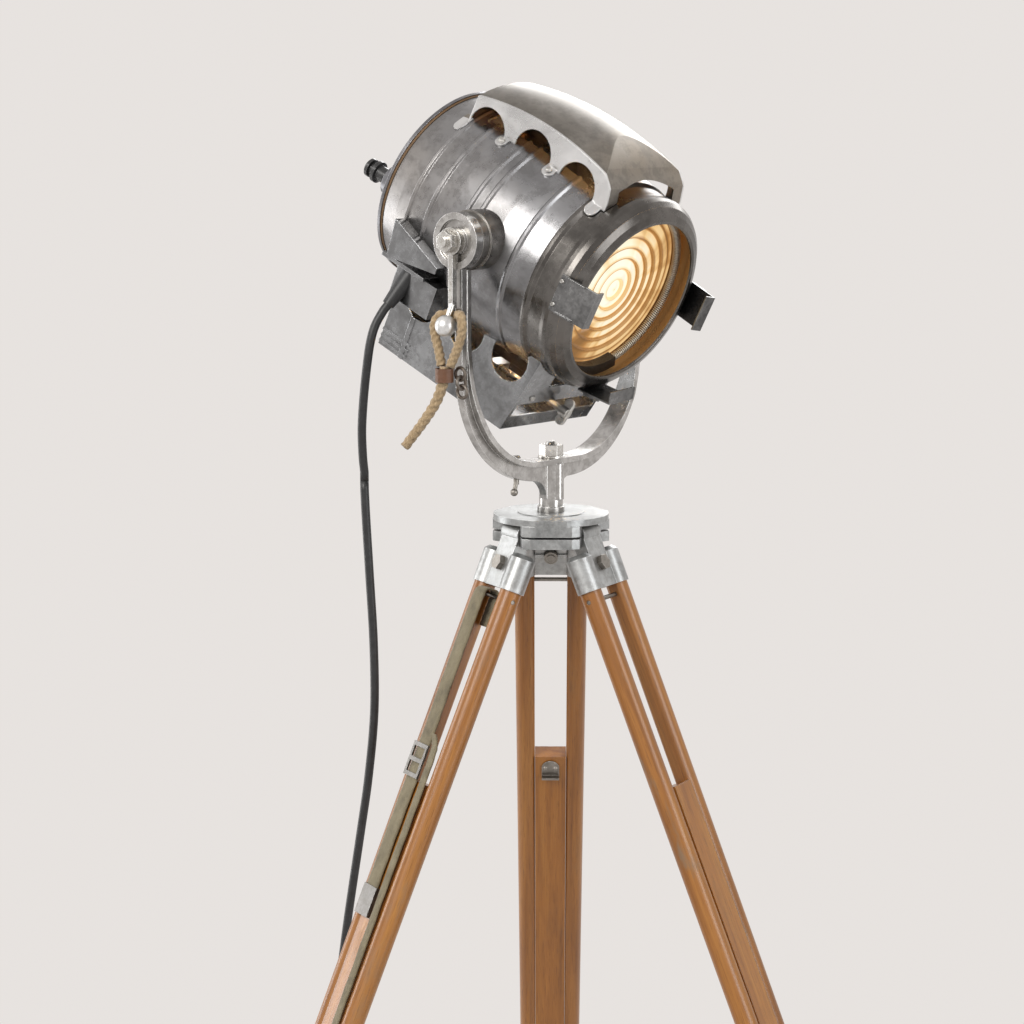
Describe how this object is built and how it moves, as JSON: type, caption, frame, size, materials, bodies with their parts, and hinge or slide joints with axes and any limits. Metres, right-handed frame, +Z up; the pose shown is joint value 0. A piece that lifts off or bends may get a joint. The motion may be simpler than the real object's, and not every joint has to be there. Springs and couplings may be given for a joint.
{
  "type": "tripod spotlight floor lamp",
  "caption": "Stage-style spotlight with a stepped lens, tilting in a yoke on a wooden tripod with sliding legs, with a mains cord and plug.",
  "frame": {"origin": "on the floor, in the middle of the box that the stand and lamp fill, without the cord", "axes": "+Z up; -Y is the side between the two front legs; the lamp head points 51 degrees from -Y towards +X"},
  "size_m": [0.9602, 0.8361, 1.6076],
  "materials": {
    "cast_aluminium": "satin, worn",
    "steel_fittings": "satin, lightly tarnished",
    "yoke_iron": "satin, brushed and worn",
    "barrel_steel": "burnished dark pewter",
    "bezel_bronze": "dark burnished",
    "cowl_steel": "dull speckled top, brushed sides",
    "gasket_brown": "matt",
    "knob_black": "satin",
    "clip_black": "satin black",
    "lens_glass": "clear, stepped",
    "spring_steel": "warm tarnished",
    "black_tape": "matt",
    "pole_wood": "varnished, worn",
    "board_wood": "varnished",
    "strap_canvas": "matt weave",
    "rope_fibre": "matt",
    "band_leather": "matt",
    "link_iron": "dark, rusty",
    "ball_aluminium": "polished, scuffed",
    "mirror_silver": "mirror",
    "porcelain": "glazed",
    "bulb_glass": "frosted, warm",
    "cord_rubber": "satin"
  },
  "bodies": {
    "root": {"head_casting": "cast_aluminium", "clamp_plate": "cast_aluminium", "clamp_bolt": "steel_fittings", "pan_stud": "steel_fittings", "cord_lower": "cord_rubber", "cord_coil": "cord_rubber", "mains_plug": "cord_rubber"},
    "yoke": {"yoke": "yoke_iron"},
    "pan_lock": {"pan_lock": "steel_fittings"},
    "tilt_lever": {"tilt_lever": "yoke_iron", "lever_ball": "ball_aluminium", "strop_rope": "rope_fibre", "strop_band": "band_leather", "strop_links": "link_iron"},
    "head": {"barrel": "barrel_steel", "front_bezel": "bezel_bronze", "cap_gasket": "gasket_brown", "rear_cap": "barrel_steel", "top_cowl": "cowl_steel", "lamp_tray": "cowl_steel", "drums": "yoke_iron", "pivot_bolts": "steel_fittings", "head_fasteners": "steel_fittings", "lens": "lens_glass", "lens_spring": "spring_steel", "lens_tape": "black_tape", "colour_clips": "clip_black", "cable_bracket": "cowl_steel", "cable_box": "cowl_steel", "cord_bush": "cord_rubber", "cord_upper": "cord_rubber"},
    "carriage": {"mirror": "mirror_silver", "lamp_carriage": "steel_fittings", "lampholder": "porcelain", "bulb": "bulb_glass"},
    "focus_screw": {"focus_screw": "steel_fittings"},
    "rear_knob": {"rear_knob": "knob_black"},
    "leg_right": {"leg_bracket_right": "cast_aluminium", "leg_poles_right": "pole_wood", "leg_fittings_right": "steel_fittings"},
    "lower_leg_right": {"board_right": "board_wood", "board_stop_right": "steel_fittings", "shoe_right": "steel_fittings"},
    "leg_screw_right": {"leg_screw_right": "steel_fittings"},
    "leg_left": {"leg_bracket_left": "cast_aluminium", "leg_poles_left": "pole_wood", "leg_fittings_left": "steel_fittings", "carry_strap": "strap_canvas", "strap_buckle": "steel_fittings"},
    "lower_leg_left": {"board_left": "board_wood", "board_stop_left": "steel_fittings", "shoe_left": "steel_fittings"},
    "leg_screw_left": {"leg_screw_left": "steel_fittings"},
    "leg_rear": {"leg_bracket_rear": "cast_aluminium", "leg_poles_rear": "pole_wood", "leg_fittings_rear": "steel_fittings"},
    "lower_leg_rear": {"board_rear": "board_wood", "board_stop_rear": "steel_fittings", "shoe_rear": "steel_fittings"},
    "leg_screw_rear": {"leg_screw_rear": "steel_fittings"}
  },
  "joints": [
    {"name": "head_pan", "type": "hinge", "parent": "root", "child": "yoke", "pos_m": [0, -0.13427, 1.2431], "axis": [0, 0, 1], "range_deg": [-120, 120], "deforming": ["cord_lower"]},
    {"name": "pan_lock_turn", "type": "hinge", "parent": "yoke", "child": "pan_lock", "pos_m": [-0.03147, -0.17313, 1.2531], "axis": [0, 0, 1], "range_deg": [-60, 60]},
    {"name": "tilt_lever_swing", "type": "hinge", "parent": "yoke", "child": "tilt_lever", "pos_m": [-0.08622, -0.24074, 1.4676], "axis": [0.6293, 0.7771, 0], "range_deg": [-45, 45]},
    {"name": "head_tilt", "type": "hinge", "parent": "yoke", "child": "head", "pos_m": [0, -0.13427, 1.4676], "axis": [0.6293, 0.7771, 0], "range_deg": [-45, 50], "deforming": ["cord_upper"]},
    {"name": "focus_slide", "type": "slide", "parent": "head", "child": "carriage", "axis": [0.7043, -0.5704, -0.4226], "range_m": [0, 0.022]},
    {"name": "focus_screw_turn", "type": "hinge", "parent": "carriage", "child": "focus_screw", "pos_m": [-0.01735, -0.12022, 1.32508], "axis": [0.7043, -0.5704, -0.4226], "range_deg": [-180, 180]},
    {"name": "rear_knob_turn", "type": "hinge", "parent": "head", "child": "rear_knob", "pos_m": [-0.14525, -0.09901, 1.51447], "axis": [-0.7565, 0.5005, 0.421], "continuous": true},
    {"name": "leg_swing_right", "type": "hinge", "parent": "root", "child": "leg_right", "pos_m": [0.03031, -0.15177, 1.1966], "axis": [-0.5, -0.866, 0], "range_deg": [-19, 12]},
    {"name": "leg_slide_right", "type": "slide", "parent": "leg_right", "child": "lower_leg_right", "axis": [0.3384, -0.1954, -0.9205], "range_m": [-0.145, 0.465]},
    {"name": "leg_screw_turn_right", "type": "hinge", "parent": "leg_right", "child": "leg_screw_right", "pos_m": [0.32238, -0.3204, 0.45328], "axis": [0.7972, -0.4603, 0.3907], "range_deg": [-180, 180]},
    {"name": "leg_swing_left", "type": "hinge", "parent": "root", "child": "leg_left", "pos_m": [-0.03031, -0.15177, 1.1966], "axis": [-0.5, 0.866, 0], "range_deg": [-19, 12]},
    {"name": "leg_slide_left", "type": "slide", "parent": "leg_left", "child": "lower_leg_left", "axis": [-0.3384, -0.1954, -0.9205], "range_m": [-0.145, 0.465]},
    {"name": "leg_screw_turn_left", "type": "hinge", "parent": "leg_left", "child": "leg_screw_left", "pos_m": [-0.32238, -0.3204, 0.45328], "axis": [-0.7972, -0.4603, 0.3907], "range_deg": [-180, 180]},
    {"name": "leg_swing_rear", "type": "hinge", "parent": "root", "child": "leg_rear", "pos_m": [0, -0.09927, 1.1966], "axis": [1, 0, 0], "range_deg": [-19, 12]},
    {"name": "leg_slide_rear", "type": "slide", "parent": "leg_rear", "child": "lower_leg_rear", "axis": [0, 0.3907, -0.9205], "range_m": [-0.145, 0.465]},
    {"name": "leg_screw_turn_rear", "type": "hinge", "parent": "leg_rear", "child": "leg_screw_rear", "pos_m": [0, 0.23797, 0.45328], "axis": [0, 0.9205, 0.3907], "range_deg": [-180, 180]}
  ]
}
